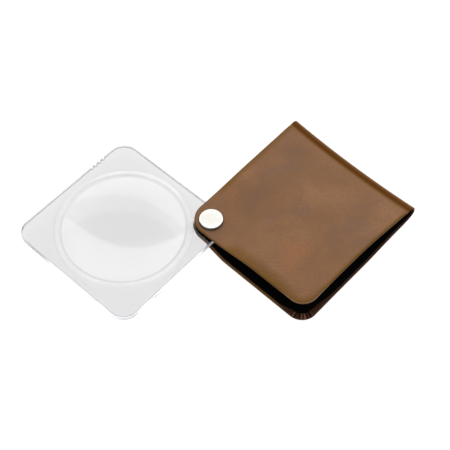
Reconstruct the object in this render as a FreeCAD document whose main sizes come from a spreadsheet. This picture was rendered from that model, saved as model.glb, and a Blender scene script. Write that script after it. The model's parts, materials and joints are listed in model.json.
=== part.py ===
import FreeCAD, Part
import math
import os

import Sketcher

# Folding pocket magnifier: a clear acrylic blade with its lens moulded in turns on a capped
# rivet at one corner of a folded, lined and board-stiffened leather case.
#
# Frame: X along the open magnifier's length, Y across it, Z up, origin at the centre of the
# object's footprint. The case's own axes start at the rivet: its x runs along the open edge
# beside the rivet, its y along the other one, towards the fold. The blade's axes are the
# same two when it is shut, and lie half a turn away when it is open, as it is modelled.

doc = FreeCAD.newDocument("Magnifier")
sheet = doc.addObject("Spreadsheet::Sheet", "Dims")

DRIVING = {
    # place in the frame
    "pivot_x": 0,              # rivet axis in the frame, set once the footprint is known
    "pivot_y": 0,
    "mid_height": 6.9,         # middle plane of the blade above the table
    "case_angle": -42,         # from +X to the case's x axis
    "open_angle": 180,         # from the case's axes to the blade's
    # blade and lens
    "blade_side": 69.8,
    "blade_thick": 3,
    "blade_inset": 6.9,        # rivet axis to the blade's two near edges
    "blade_corner": 7.6,
    "blade_round": 0.45,       # rounding of the plate's long edges
    "seat_radius": 31.5,       # outer rim of the sunk ring round the lens
    "dome_radius": 28.5,       # rim of the lens surfaces
    "dome_edge": 1.0,          # middle plane to the lens surfaces at their rim
    "dome_front": 4.64,        # and at the centre, in front
    "dome_back": 1.6,          # and behind
    "notch_radius": 0.6,
    "notch_first": 6.9,
    "notch_pitch": 2.5,
    "notch_count": 4,
    "pivot_gap": 0.06,         # radial running clearance on the rivet
    # case outline, from the rivet axis: both side edges are drawn in between their ends
    "left_open": 9.25,         # side edge by the rivet, at the open edge
    "left_fold": 8.85,         # and at the fold
    "left_bow": 0.65,
    "front_near": 7.4,         # open edge, at the rivet's side
    "back_near": 8,
    "front_skew": 0.9,         # the open edge stands out further at its other end
    "back_skew": 1.3,
    "front_right": 61.7,       # far side edge, at the open edge
    "back_right": 62.8,
    "right_fold": 64.1,        # and at the fold
    "front_bow": 0.8,
    "back_bow": 0.25,
    "corner_rivet": 10,
    "corner_open": 7.8,
    # case layers
    "leather_thick": 0.75,
    "board_thick": 0.6,
    "lining_thick": 0.35,
    "hem_width": 2.6,
    "board_end": 58.5,         # where the boards stop short of the fold
    # case shape: half gaps measured from the middle plane to the lining
    "gap_pivot": 1.95,
    "gap_front": 5.05,
    "gap_back": 5.25,
    "pinch_radius": 6,
    "rise_front": 28,
    "rise_back": 12,
    "side_draw": 0.55,
    "side_start": 14,
    "side_length": 21.6,
    "fold_draw": 0.61,
    "fold_start": 32,
    "fold_length": 27,
    "fold_reach": 68.6,        # spine of the fold from the rivet axis
    "fold_middle": 27.95,
    "fold_half": 35.55,
    "fold_lean": 1.35,
    "fold_bow": 1.2,
    "groove_back": 1.0,        # groove beside the spine, before the fold's centre
    "groove_width": 1.5,
    "groove_depth": 0.35,
    # rivet
    "cap_radius": 5.6,
    "cap_height": 1.3,
    "cap_round": 0.7,
    "cap_crown": 0.12,
    "cap_wall": 0.4,
    "flange_radius": 4.9,
    "flange_thick": 0.5,
    "tube_radius": 2.5,
    "tube_bore": 1.6,
    "post_gap": 0.02,
    "seat_gap": 0.02,          # rivet flanges and washers to the case's faces
    "tube_end_gap": 0.05,
    "hole_gap": 0.1,           # rivet hole in the case's layers, larger than the tube
    "washer_radius": 5.4,
    "washer_thick": 0.38,
}

for number, (alias, value) in enumerate(DRIVING.items(), start=1):
    sheet.set(f"A{number}", alias)
    sheet.set(f"B{number}", str(value))
    sheet.setAlias(f"B{number}", alias)
doc.recompute()


def dim(alias):
    return float(sheet.get(alias))


def value_of(expression):
    result = sheet.evalExpression(expression)
    return float(getattr(result, "Value", result))


ORIGIN_POINT = (-1, 1)
H_AXIS = -1
V_AXIS = -2


def place(piece, turn="Dims.case_angle"):
    """Stand a piece on the rivet axis at the middle plane, turned to its own axes."""
    piece.Placement = FreeCAD.Placement()
    piece.setExpression("Placement.Base.x", "Dims.pivot_x")
    piece.setExpression("Placement.Base.y", "Dims.pivot_y")
    piece.setExpression("Placement.Base.z", "Dims.mid_height")
    piece.setExpression("Placement.Rotation.Angle", turn)
    return piece


def new_body(name, turn="Dims.case_angle"):
    body = doc.addObject("PartDesign::Body", name)
    body.Label = name
    return place(body, turn)


def origin_plane(body, role):
    return next(plane for plane in body.Origin.OriginFeatures if plane.Role == role)


def new_sketch(body, name, role):
    sketch = body.newObject("Sketcher::SketchObject", f"{body.Name}_{name}")
    sketch.AttachmentSupport = [(origin_plane(body, role), "")]
    sketch.MapMode = "FlatFace"
    return sketch


def pin_point(sketch, geometry, end, x_rule, y_rule):
    """Hold one sketch point by two expressions, or on an axis where the rule is "0"."""
    for kind, axis, rule in (("DistanceX", V_AXIS, x_rule), ("DistanceY", H_AXIS, y_rule)):
        if rule == "0":
            sketch.addConstraint(Sketcher.Constraint("PointOnObject", geometry, end, axis))
        elif rule is not None:
            size = Sketcher.Constraint(kind, *ORIGIN_POINT, geometry, end, value_of(rule))
            index = sketch.addConstraint(size)
            sketch.setExpression(f"Constraints[{index}]", rule)


def outline(sketch, corners, arcs=None):
    """Closed profile through corners given as pairs of expressions.

    arcs maps the number of a side to (centre x, centre y, held axis) for a round side.
    """
    arcs = arcs or {}
    points = [FreeCAD.Vector(value_of(x), value_of(y), 0) for x, y in corners]
    ends = []
    for side, start in enumerate(points):
        finish = points[(side + 1) % len(points)]
        if side not in arcs:
            sketch.addGeometry(Part.LineSegment(start, finish))
            ends.append((1, 2))
            continue
        centre_x, centre_y, _ = arcs[side]
        centre = FreeCAD.Vector(value_of(centre_x), value_of(centre_y), 0)
        first = start - centre
        last = finish - centre
        circle = Part.Circle(centre, FreeCAD.Vector(0, 0, 1), first.Length)
        angles = [math.atan2(first.y, first.x), math.atan2(last.y, last.x)]
        forwards = first.cross(last).z > 0
        if not forwards:
            angles.reverse()
        sketch.addGeometry(Part.ArcOfCircle(circle, *angles))
        ends.append((1, 2) if forwards else (2, 1))
    for side, (x_rule, y_rule) in enumerate(corners):
        before = (side - 1) % len(corners)
        join = Sketcher.Constraint("Coincident", before, ends[before][1], side, ends[side][0])
        sketch.addConstraint(join)
        pin_point(sketch, side, ends[side][0], x_rule, y_rule)
    for side, (centre_x, centre_y, held) in arcs.items():
        pin_point(sketch, side, 3, *((centre_x, None) if held == "x" else (None, centre_y)))
    return sketch


def circle_sketch(body, name, x_rule, y_rule, radius_rule):
    sketch = new_sketch(body, name, "XY_Plane")
    centre = FreeCAD.Vector(value_of(x_rule), value_of(y_rule), 0)
    sketch.addGeometry(Part.Circle(centre, FreeCAD.Vector(0, 0, 1), value_of(radius_rule)))
    index = sketch.addConstraint(Sketcher.Constraint("Radius", 0, value_of(radius_rule)))
    sketch.setExpression(f"Constraints[{index}]", radius_rule)
    pin_point(sketch, 0, 3, x_rule, y_rule)
    return sketch


def cut_through(body, sketch, name):
    """Pocket a sketch on the middle plane right through the body, both ways."""
    before = body.Shape.Volume
    pocket = body.newObject("PartDesign::Pocket", f"{body.Name}_{name}")
    pocket.Profile = sketch
    pocket.Type = "ThroughAll"
    pocket.Midplane = True
    doc.recompute()
    if body.Shape.Volume >= before:
        raise RuntimeError(f"{pocket.Name} cut nothing")
    return pocket


def turned_body(name, corners, arcs=None):
    """A body turned about the rivet axis from one profile of (radius, height) corners."""
    body = new_body(name)
    sketch = outline(new_sketch(body, "profile", "XZ_Plane"), corners, arcs)
    turn = body.newObject("PartDesign::Revolution", f"{name}_turn")
    turn.Profile = sketch
    turn.ReferenceAxis = (sketch, ["V_Axis"])
    turn.Angle = 360
    doc.recompute()
    return body


def round_edges(body, base, name, chosen, radius_rule):
    """Fillet the edges of a feature that a test picks."""
    names = [f"Edge{i}" for i, edge in enumerate(base.Shape.Edges, start=1) if chosen(edge)]
    fillet = body.newObject("PartDesign::Fillet", f"{body.Name}_{name}")
    fillet.Base = (base, names)
    fillet.setExpression("Radius", radius_rule)
    doc.recompute()
    return fillet


# ---------------------------------------------------------------- lens blade

def dome_curve(height):
    """Radius of a lens surface that rises from its rim to a height at the centre."""
    rise = f"({height} - Dims.dome_edge)"
    return f"((Dims.dome_radius ^ 2 + {rise} ^ 2) / (2 * {rise}))"


def make_lens_blade():
    body = new_body("lens_blade", "Dims.case_angle + Dims.open_angle")
    near = "-Dims.blade_inset"
    far = "Dims.blade_side - Dims.blade_inset"
    middle = "Dims.blade_side / 2 - Dims.blade_inset"

    square = outline(
        new_sketch(body, "plate_outline", "XY_Plane"),
        [(near, near), (far, near), (far, far), (near, far)],
    )
    plate = body.newObject("PartDesign::Pad", "lens_blade_plate")
    plate.Profile = square
    plate.Midplane = True
    plate.setExpression("Length", "Dims.blade_thick")
    doc.recompute()

    def upright(edge):
        return edge.BoundBox.ZLength > dim("blade_thick") / 2

    def level(edge):
        return not upright(edge)

    corners = round_edges(body, plate, "corners", upright, "Dims.blade_corner")
    round_edges(body, corners, "soft_edges", level, "Dims.blade_round")

    # the ring-shaped seat is opened right through, then filled by the turned lens
    seat = circle_sketch(body, "seat", middle, middle, "Dims.seat_radius")
    cut_through(body, seat, "seat_opening")

    profile = outline(
        new_sketch(body, "lens_profile", "XZ_Plane"),
        [
            ("0", "-Dims.dome_back"),
            ("Dims.dome_radius", "-Dims.dome_edge"),
            ("Dims.seat_radius", "-Dims.blade_thick / 2"),
            ("Dims.seat_radius", "Dims.blade_thick / 2"),
            ("Dims.dome_radius", "Dims.dome_edge"),
            ("0", "Dims.dome_front"),
        ],
        arcs={
            0: ("0", f"{dome_curve('Dims.dome_back')} - Dims.dome_back", "x"),
            4: ("0", f"Dims.dome_front - {dome_curve('Dims.dome_front')}", "x"),
        },
    )
    profile.setExpression("AttachmentOffset.Base.x", middle)
    profile.setExpression("AttachmentOffset.Base.z", f"-({middle})")
    doc.recompute()
    lens = body.newObject("PartDesign::Revolution", "lens_blade_lens")
    lens.Profile = profile
    lens.ReferenceAxis = (profile, ["V_Axis"])
    lens.Angle = 360
    doc.recompute()

    hole = circle_sketch(body, "pivot", "0", "0", "Dims.tube_radius + Dims.pivot_gap")
    cut_through(body, hole, "pivot_hole")

    groove = circle_sketch(body, "thumb_notch", far, "Dims.notch_first", "Dims.notch_radius")
    notch = cut_through(body, groove, "thumb_notch_cut")
    row = body.newObject("PartDesign::LinearPattern", "lens_blade_thumb_notches")
    row.Originals = [notch]
    row.Direction = (groove, ["V_Axis"])
    row.setExpression("Length", "Dims.notch_pitch * (Dims.notch_count - 1)")
    row.setExpression("Occurrences", "Dims.notch_count")
    body.Tip = row
    doc.recompute()
    return body


# ---------------------------------------------------------------- rivet

LAYERS = "Dims.lining_thick + Dims.board_thick + Dims.leather_thick"
SEAT_Z = f"(Dims.gap_pivot + {LAYERS} + Dims.seat_gap)"
CAP_TOP = f"{SEAT_Z} + Dims.cap_height"


def signed(rule, side):
    return f"-({rule})" if side < 0 else rule


def make_cap(name, side):
    """Hollow nickel cap over one rivet flange; side is +1 in front and -1 behind."""
    rim = "Dims.cap_radius"
    inner = "Dims.cap_radius - Dims.cap_wall"
    shoulder = "Dims.cap_radius - Dims.cap_round"
    lip_top = f"{SEAT_Z} + Dims.flange_thick"
    crown_z = f"{CAP_TOP} + Dims.cap_crown"
    crown_curve = "((Dims.cap_radius - Dims.cap_round) ^ 2 / (2 * Dims.cap_crown))"
    corners = [
        ("0", signed(lip_top, side)),
        (inner, signed(lip_top, side)),
        (inner, signed(SEAT_Z, side)),
        (rim, signed(SEAT_Z, side)),
        (rim, signed(f"{CAP_TOP} - Dims.cap_round", side)),
        (shoulder, signed(CAP_TOP, side)),
        ("0", signed(crown_z, side)),
    ]
    arcs = {
        4: (shoulder, signed(f"{CAP_TOP} - Dims.cap_round", side), "x"),
        5: ("0", signed(f"{crown_z} - {crown_curve}", side), "x"),
    }
    return turned_body(name, corners, arcs)


def make_socket():
    """Front half of the rivet: a flange under the cap and a tube that the blade turns on."""
    flange_z = f"{SEAT_Z} + Dims.flange_thick"
    foot_z = f"-({SEAT_Z}) + Dims.tube_end_gap"
    return turned_body(
        "rivet_socket",
        [
            ("Dims.tube_bore", foot_z),
            ("Dims.tube_radius", foot_z),
            ("Dims.tube_radius", SEAT_Z),
            ("Dims.flange_radius", SEAT_Z),
            ("Dims.flange_radius", flange_z),
            ("Dims.tube_bore", flange_z),
        ],
    )


def make_post():
    """Back half of the rivet: a flange under the back cap and a post pressed into the tube."""
    flange_z = f"-({SEAT_Z} + Dims.flange_thick)"
    post = "Dims.tube_bore - Dims.post_gap"
    return turned_body(
        "rivet_post",
        [
            ("0", flange_z),
            ("Dims.flange_radius", flange_z),
            ("Dims.flange_radius", f"-({SEAT_Z})"),
            (post, f"-({SEAT_Z})"),
            (post, f"{SEAT_Z}"),
            ("0", f"{SEAT_Z}"),
        ],
    )


def make_washer(name, side):
    """Friction washer lying on the lining, between it and the blade."""
    bore = "Dims.tube_radius + Dims.hole_gap"
    low = signed("Dims.gap_pivot - Dims.washer_thick", side)
    high = signed("Dims.gap_pivot - Dims.seat_gap", side)
    rim = "Dims.washer_radius"
    return turned_body(name, [(bore, low), (rim, low), (rim, high), (bore, high)])


# ---------------------------------------------------------------- folded case

FRONT = 1
BACK = -1
EDGE_RUN = 3.0                 # how far the untrimmed layers run past the case's outline
RIVET_RUN = 10.0               # the layers' faces have closer points up to here
RIVET_STEPS = 8                # points from the open edge to there
PANEL_STEPS = 9                # points from there to where the boards stop
GROOVE_STEPS = 8               # points from there to the fold's centre
FOLD_STEPS = 8                 # points round the fold
TOOL_DEPTH = -1.0              # cutters reach this far inside the lining's face
FOLD_OPEN = 40.0               # outlines run on past the fold by this much


def ease(t):
    """Smooth step from 0 to 1 with level ends."""
    t = min(1.0, max(0.0, t))
    return t * t * (3 - 2 * t)


def half_gap(x, y, side):
    """Middle plane to the lining: pinched at the rivet, drawn in at the side and the fold."""
    room = dim("gap_front") if side == FRONT else dim("gap_back")
    length = dim("rise_front") if side == FRONT else dim("rise_back")
    rise = ease((math.hypot(x, y) - dim("pinch_radius")) / length)
    at_side = dim("side_draw") * ease((dim("side_start") - x) / dim("side_length"))
    at_fold = dim("fold_draw") * ease((y - dim("fold_start")) / dim("fold_length"))
    draw = (at_side ** 4 + at_fold ** 4) ** 0.25
    return dim("gap_pivot") + (room - dim("gap_pivot")) * rise * (1 - draw)


def spine_reach(x):
    """Outermost y of the fold: bowed in between its two ends and leaning at one of them."""
    u = (x - dim("fold_middle")) / dim("fold_half")
    return dim("fold_reach") - dim("fold_lean") * u + dim("fold_bow") * u * u


def stations(low, high):
    """Places along one of the case's axes, closer together round the rivet."""
    near = [low + (RIVET_RUN - low) * i / RIVET_STEPS for i in range(RIVET_STEPS)]
    far = [RIVET_RUN + (high - RIVET_RUN) * i / PANEL_STEPS for i in range(PANEL_STEPS + 1)]
    return near + far


def layer_line(x, depth, fold_depth, side, count_from_edge):
    """Points of one layer's face on one panel at section x, from the open edge to the fold."""
    wrap = dim("lining_thick") + dim("leather_thick")
    centre = spine_reach(x) - wrap - half_gap(x, dim("fold_reach"), FRONT)
    stop = dim("board_end") - 2
    ys = stations(-dim("back_near") - EDGE_RUN, stop)
    ys += [stop + (centre - stop) * i / GROOVE_STEPS for i in range(1, GROOVE_STEPS + 1)]
    points = []
    for y in ys:
        thin = ease((y - dim("board_end")) / dim("groove_width"))
        layer = depth + (fold_depth - depth) * thin
        away = (y - centre + dim("groove_back")) / dim("groove_width")
        dip = dim("groove_depth") * math.exp(-away * away)
        blend = ease((y - dim("fold_start")) / dim("fold_length"))
        gap = half_gap(x, y, side) * (1 - blend) + half_gap(x, y, FRONT) * blend
        points.append(FreeCAD.Vector(x, y, side * (gap + layer - dip)))
    return points if count_from_edge else points[::-1]


def layer_face(depth, fold_depth):
    """One smooth face at a given depth outside the lining's inner face, round the fold."""
    grid = []
    for x in stations(-dim("left_open") - EDGE_RUN, dim("right_fold") + EDGE_RUN):
        front = layer_line(x, depth, fold_depth, FRONT, True)
        back = layer_line(x, depth, fold_depth, BACK, False)
        centre = front[-1].y
        radius = (front[-1].z - back[0].z) / 2
        lift = (front[-1].z + back[0].z) / 2
        arc = []
        for k in range(1, FOLD_STEPS):
            angle = math.pi / 2 - math.pi * k / FOLD_STEPS
            y = centre + radius * math.cos(angle)
            arc.append(FreeCAD.Vector(x, y, lift + radius * math.sin(angle)))
        grid.append(front + arc + back)
    surface = Part.BSplineSurface()
    surface.interpolate(grid)
    return surface


def between(inner, outer):
    """Solid between two layer faces, closed by ruled walls at their edges."""
    faces = [inner.toShape(), outer.toShape()]
    u_low, u_high, v_low, v_high = inner.bounds()
    for pick, at in (("u", u_low), ("u", u_high), ("v", v_low), ("v", v_high)):
        lines = []
        for surface in (inner, outer):
            iso = surface.uIso(at) if pick == "u" else surface.vIso(at)
            lines.append(iso.toShape())
        faces.append(Part.makeRuledSurface(*lines))
    shell = Part.makeShell(faces)
    shell.sewShape()
    solid = Part.makeSolid(Part.Shell(shell.Faces))
    if solid.Volume < 0:
        solid.reverse()
    return solid


def plan_prism(inset, side, y_low=None, y_high=None):
    """Upright prism over the case's outline, drawn in by inset and open past the fold."""
    reach = 30.0
    panel = "front" if side == FRONT else "back"
    near = -dim(f"{panel}_near") + inset
    fold = dim("fold_reach")
    far = fold + FOLD_OPEN
    low = 0.0 if side == FRONT else -reach
    left_open = -dim("left_open") + inset
    left_fold = -dim("left_fold") + inset
    left_middle = (left_open + left_fold) / 2 + dim("left_bow")
    right_open = dim(f"{panel}_right") - inset
    right_fold = dim("right_fold") - inset
    right_middle = (right_open + right_fold) / 2 - dim(f"{panel}_bow")
    right_near = near - dim(f"{panel}_skew")

    def point(x, y):
        return FreeCAD.Vector(x, y, low)

    start = point(left_open, near)
    end = point(right_open, right_near)
    right = point(right_fold, fold)
    left = point(left_fold, fold)
    right_bow = point(right_middle, (right_near + fold) / 2)
    left_bow = point(left_middle, (near + fold) / 2)
    edges = [
        Part.LineSegment(start, end).toShape(),
        Part.Arc(end, right_bow, right).toShape(),
        Part.LineSegment(right, point(right_fold, far)).toShape(),
        Part.LineSegment(point(right_fold, far), point(left_fold, far)).toShape(),
        Part.LineSegment(point(left_fold, far), left).toShape(),
        Part.Arc(left, left_bow, start).toShape(),
    ]
    prism = Part.Face(Part.Wire(edges)).extrude(FreeCAD.Vector(0, 0, reach))
    for corner, radius in ((start, dim("corner_rivet")), (end, dim("corner_open"))):
        upright = [
            edge
            for edge in prism.Edges
            if edge.BoundBox.ZLength > reach / 2
            and math.hypot(edge.BoundBox.XMin - corner.x, edge.BoundBox.YMin - corner.y) < 0.1
        ]
        prism = prism.makeFillet(radius - inset, upright)
    if y_low is not None or y_high is not None:
        bottom = near - reach if y_low is None else y_low
        top = far + reach if y_high is None else y_high
        block = Part.makeBox(4 * reach, top - bottom, 2 * reach)
        block.translate(FreeCAD.Vector(left_open - reach, bottom, -reach))
        prism = prism.common(block)
    return prism


def case_prism(inset, y_low=None, y_high=None):
    front = plan_prism(inset, FRONT, y_low, y_high)
    back = plan_prism(inset, BACK, y_low, y_high)
    return front.fuse(back)


def rivet_hole():
    radius = dim("tube_radius") + dim("hole_gap")
    height = 4 * dim("mid_height")
    start = FreeCAD.Vector(0, 0, -height / 2)
    return Part.makeCylinder(radius, height, start)


def add_solid(name, shape):
    """Show one finished solid as a named piece of the case."""
    piece = doc.addObject("Part::Feature", name)
    piece.Label = name
    piece.Shape = shape.Solids[0] if len(shape.Solids) == 1 else shape
    return place(piece)


def make_case():
    lining = dim("lining_thick")
    board = lining + dim("board_thick")
    panel = board + dim("leather_thick")
    wrap = lining + dim("leather_thick")
    inner_face = layer_face(0, 0)
    lining_face = layer_face(lining, lining)
    board_face = layer_face(board, board)
    outer_face = layer_face(panel, wrap)
    tool_face = layer_face(TOOL_DEPTH, TOOL_DEPTH)
    hole = rivet_hole()
    hem = dim("hem_width")

    # boards: one in each panel, stopping short of the fold and inside the hem
    board_room = case_prism(hem, y_high=dim("board_end"))
    boards = between(lining_face, board_face).common(board_room).cut(hole)
    for solid in boards.Solids:
        name = "front_board" if solid.CenterOfMass.z > 0 else "back_board"
        add_solid(name, solid)

    # lining: one folded sheet inside the hem
    lining_sheet = between(inner_face, lining_face).common(case_prism(hem)).cut(hole)
    add_solid("lining", lining_sheet)

    # leather: the whole wrapped shell with its turned-in hem, hollowed for boards and lining
    leather = between(inner_face, outer_face).common(case_prism(0))
    leather = leather.cut(between(tool_face, board_face).common(board_room))
    fold_room = case_prism(hem, y_low=dim("board_end") - 2)
    leather = leather.cut(between(tool_face, lining_face).common(fold_room)).cut(hole)
    # the back panel lies flat where it meets the table
    span = 4 * dim("fold_reach")
    table = Part.makeBox(span, span, dim("mid_height"))
    corner = FreeCAD.Vector(-span / 2, -span / 2, -2 * dim("mid_height"))
    table.translate(corner)
    add_solid("leather_cover", leather.cut(table))


make_lens_blade()
make_cap("front_cap", FRONT)
make_cap("back_cap", BACK)
make_socket()
make_post()
make_washer("front_washer", FRONT)
make_washer("back_washer", BACK)
make_case()
doc.recompute()

pieces = [
    piece
    for piece in doc.Objects
    if piece.TypeId in ("PartDesign::Body", "Part::Feature")
]

# the origin is the centre of the footprint
box = FreeCAD.BoundBox()
for piece in pieces:
    box.add(piece.Shape.optimalBoundingBox(True, False))
for alias, centre in (("pivot_x", box.Center.x), ("pivot_y", box.Center.y)):
    cell = sheet.getCellFromAlias(alias)
    sheet.set(cell, str(round(-centre, 3)))
doc.recompute()

for item in doc.Objects:
    if "Invalid" in item.State or "Error" in item.State:
        raise RuntimeError(f"{item.Name} failed to recompute")
for piece in pieces:
    if piece.Shape.isNull() or not piece.Shape.isValid():
        raise RuntimeError(f"{piece.Label} has no valid shape")
    if len(piece.Shape.Solids) != 1:
        raise RuntimeError(f"{piece.Label} has {len(piece.Shape.Solids)} solids")

os.makedirs("parts", exist_ok=True)
for piece in pieces:
    piece.Shape.exportStep(f"parts/{piece.Label}.step")
    size = piece.Shape.optimalBoundingBox(True, False)
    print(
        f"{piece.Label:14s} volume {piece.Shape.Volume:9.1f}",
        f"x {size.XMin:7.2f} {size.XMax:7.2f}",
        f"y {size.YMin:7.2f} {size.YMax:7.2f}",
        f"z {size.ZMin:6.2f} {size.ZMax:6.2f}",
    )
print("rivet axis at", sheet.get("pivot_x"), sheet.get("pivot_y"))
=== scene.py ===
import json
import math

import bmesh
import bpy
from mathutils import Matrix, Vector, noise


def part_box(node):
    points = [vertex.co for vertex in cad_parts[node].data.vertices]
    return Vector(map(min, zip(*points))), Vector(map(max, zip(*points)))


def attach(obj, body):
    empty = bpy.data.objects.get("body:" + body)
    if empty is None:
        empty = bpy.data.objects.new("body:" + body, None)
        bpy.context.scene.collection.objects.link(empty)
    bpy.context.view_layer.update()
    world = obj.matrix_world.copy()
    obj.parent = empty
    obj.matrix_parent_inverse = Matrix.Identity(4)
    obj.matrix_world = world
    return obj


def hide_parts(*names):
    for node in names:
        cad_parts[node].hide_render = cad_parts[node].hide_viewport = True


# Folding pocket magnifier: a clear lens blade turned out on a capped rivet from a folded
# leather case. Shapes are worked out in millimetres in each body's own axes, which start at
# the rivet at the middle plane, and are then put in the frame.

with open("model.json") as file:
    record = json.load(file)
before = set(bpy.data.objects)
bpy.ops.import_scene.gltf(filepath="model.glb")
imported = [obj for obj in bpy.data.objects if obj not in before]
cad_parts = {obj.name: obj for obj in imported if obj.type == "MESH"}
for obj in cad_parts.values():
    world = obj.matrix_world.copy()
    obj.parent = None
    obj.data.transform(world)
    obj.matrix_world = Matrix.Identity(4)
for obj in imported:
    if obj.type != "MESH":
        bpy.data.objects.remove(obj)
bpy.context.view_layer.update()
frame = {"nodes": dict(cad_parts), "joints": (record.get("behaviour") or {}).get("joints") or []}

MM = 0.001
FRONT = 1
BACK = -1
PIVOT = Vector(frame["joints"][0]["pos_m"])
CASE_ANGLE = math.radians(-42)
OPEN_ANGLE = math.radians(180)

# blade and lens
BLADE_SIDE = 69.8
BLADE_THICK = 3.0
BLADE_INSET = 6.9
BLADE_CORNER = 7.6
BLADE_ROUND = 0.45
SEAT_RADIUS = 31.5
DOME_RADIUS = 28.5
DOME_EDGE = 1.0
DOME_HEIGHT = {FRONT: 4.64, BACK: 1.6}
NOTCH_RADIUS = 0.6
NOTCH_FIRST = 6.9
NOTCH_PITCH = 2.5
NOTCH_COUNT = 4
BLADE_HOLE = 2.56

# case outline and layers
LEFT_OPEN = 9.25
LEFT_FOLD = 8.85
LEFT_BOW = 0.65
NEAR = {FRONT: 7.4, BACK: 8.0}
SKEW = {FRONT: 0.9, BACK: 1.3}
RIGHT_OPEN = {FRONT: 61.7, BACK: 62.8}
RIGHT_FOLD = 64.1
RIGHT_BOW = {FRONT: 0.8, BACK: 0.25}
CORNER_RIVET = 10.0
CORNER_OPEN = 7.8
PANEL_THICK = 1.70
FOLD_THICK = 1.10
LEATHER_FACE = 0.95            # the cover's inner face, outside the board
LEATHER_FACE_FOLD = 0.35
BOARD_END = 58.5
THIN_RUN = 1.5
SOFT_START = 55.5              # outside, the boards' ends show only as a long soft fall
SOFT_RUN = 8.5
LINING_IN = 0.12               # the lining lies this much below the hem
LINING_OUT = 0.33

# case shape
GAP_PIVOT = 1.95
GAP_ROOM = {FRONT: 5.05, BACK: 5.25}
PINCH_RADIUS = 6.0
RISE_LENGTH = {FRONT: 28.0, BACK: 12.0}
SIDE_DRAW = 0.55
SIDE_START = 14.0
SIDE_LENGTH = 21.6
FOLD_DRAW = 0.61
FOLD_START = 32.0
FOLD_LENGTH = 27.0
FOLD_REACH = 68.6
FOLD_MIDDLE = 27.95
FOLD_HALF = 35.55
FOLD_LEAN = 1.35
FOLD_BOW = 1.2
GROOVE_BACK = 1.0
GROOVE_WIDTH = 1.5
GROOVE_DEPTH = 0.35
CASE_HOLE = 2.6
CAP_SEAT = 3.67 * MM           # the caps' rims above and below the middle plane
WASHER_REACH = 5.6             # the faces stay plain under the washers and caps

# softer shapes that the plain frame leaves out; each pair is the start and run of a change
OPEN_FALL = {FRONT: 0.45, BACK: 0.12}
SIDE_FALL = 0.12               # the leather falls away to its turned edges by this much
FALL_RUN = 6.5
OPEN_TURN = 6.0                # half the width in which the open edge's fall becomes the sides'
OPEN_GROWS = (2.0, 14.0)       # that fall grows away from the rivet
ROLL_CORNER = 8.5              # about the corners' mean radius
WAVE_DEPTH = 0.05              # shallow hollows in the front
WAVE_LENGTH = 11.0
WAVE_GROWS = (FALL_RUN / 2, 4.0)
WAVE_CLEARS = (WASHER_REACH, 5.0)
HEM_WIDTH = 2.6                # at the far open corner
HEM_SIDE = 1.5                 # half way up the left side
HEM_LEAST = 0.95
HEM_WIDENS = (0.86, 0.14)      # in shares of the open edge
HEM_NARROWS = 0.24             # share of the right side where it is back at its least
HEM_SWELLS = 0.4               # shares of the left side, from below and from the fold, that
HEM_SETTLES = 0.3              # it takes to reach its width there
HEM_LIP = 0.08                 # bevel of the hem's own border
PLEATS = 6                     # gathers in the hem round each open corner
PLEAT_DEPTH = 0.16
PLEAT_FADE = 0.15              # share of the corner in which they fade out at each end
PLEAT_WOBBLE = 0.35            # how unevenly they are spaced, and the wave that says so
PLEAT_WOBBLE_TURN = 7.3
PLEAT_WOBBLE_START = {FRONT: 0.4, BACK: 2.1}
PLEAT_UNEVEN = 0.32            # how unevenly high they are, in the same way
PLEAT_UNEVEN_TURN = 13.0
PLEAT_UNEVEN_START = 1.0

# wear of the leather, and the shade and highlights painted on it, with such pairs too
FOLD_DARK = 0.5                # the painted shade line lies this far round from the fold's start
FOLD_DARK_WIDTH = 2.2
BURNISH_OPEN = 9.0             # the burnish comes in this far from the open edge
BURNISH_SIDE = 4.4             # and this far from the sides
BURNISH_TURN = (3.0, 14.0)     # off the open edge, where the one turns into the other
BURNISH_CORNER = 0.55          # the share of it that is left by the far side
BURNISH_NARROWS = (40.0, 16.0)
BURNISH_STARTS = (9.0, 12.0)   # there is none round the rivet
ROLL_LEFT = 0.38               # the rolled edge is darkened, by burnish and painted shade, as if this far in, on the left, and as if this far in from the next share of the width on
ROLL_RIGHT = 0.06              # and as if this far in from the next share of the width on
ROLL_RUN = 0.8
HEM_SHADE_GROWS = (0.80, 0.18)     # in shares of the open edge
HEM_SHADE_LEAST = 0.12                # how dark the hem's painted shade is at the left side
HEM_ROUND = (0.375, 1 / 2.4)   # in shares of the way round the rolled edge
PLEAT_ROUND = (0.35, 0.5)
HIGHLIGHT_PLACE = 0.3
HIGHLIGHT_WIDTH = 0.12
HIGHLIGHT_GROWS = (0.80, 0.20)       # in shares of the open edge
HIGHLIGHT_ENDS = 0.25                # share of the right side where the painted highlight has gone
CREASE_REACH = 20.0            # the creases fade out this far in from the open edge
CREASE_GROWS = (10.0, 45.0)
CREASE_LEAST = 0.35

# colours over the leather's mottle, some of them painted shade and highlights
RUST = (0.234, 0.096, 0.041)
PLUM = (0.130, 0.075, 0.056)
FLECK = (0.150, 0.072, 0.032)
PORE = (0.085, 0.040, 0.018)
OCHRE = (0.116, 0.053, 0.009)
# painted shade where the front turns over into the spine
FOLD_SIDE_SHADE = (0.135, 0.060, 0.010)
FOLD_LINE_SHADE = (0.072, 0.022, 0.001)
# painted shade in the turned-in hem
HEM_SHADE = (0.036, 0.013, 0.009)
# painted shade in the gathers' valleys and a painted highlight on their ridges
PLEAT_VALLEY_SHADE = (0.006, 0.002, 0.002)
PLEAT_RIDGE_HIGHLIGHT = (0.200, 0.092, 0.058)
# painted highlight on the front's rolled rim
ROLL_HIGHLIGHT = (0.300, 0.180, 0.100)


# ---------------------------------------------------------------- meshes

def ease(t):
    """Smooth step from 0 to 1 with level ends."""
    t = min(1.0, max(0.0, t))
    return t * t * (3 - 2 * t)


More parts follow.
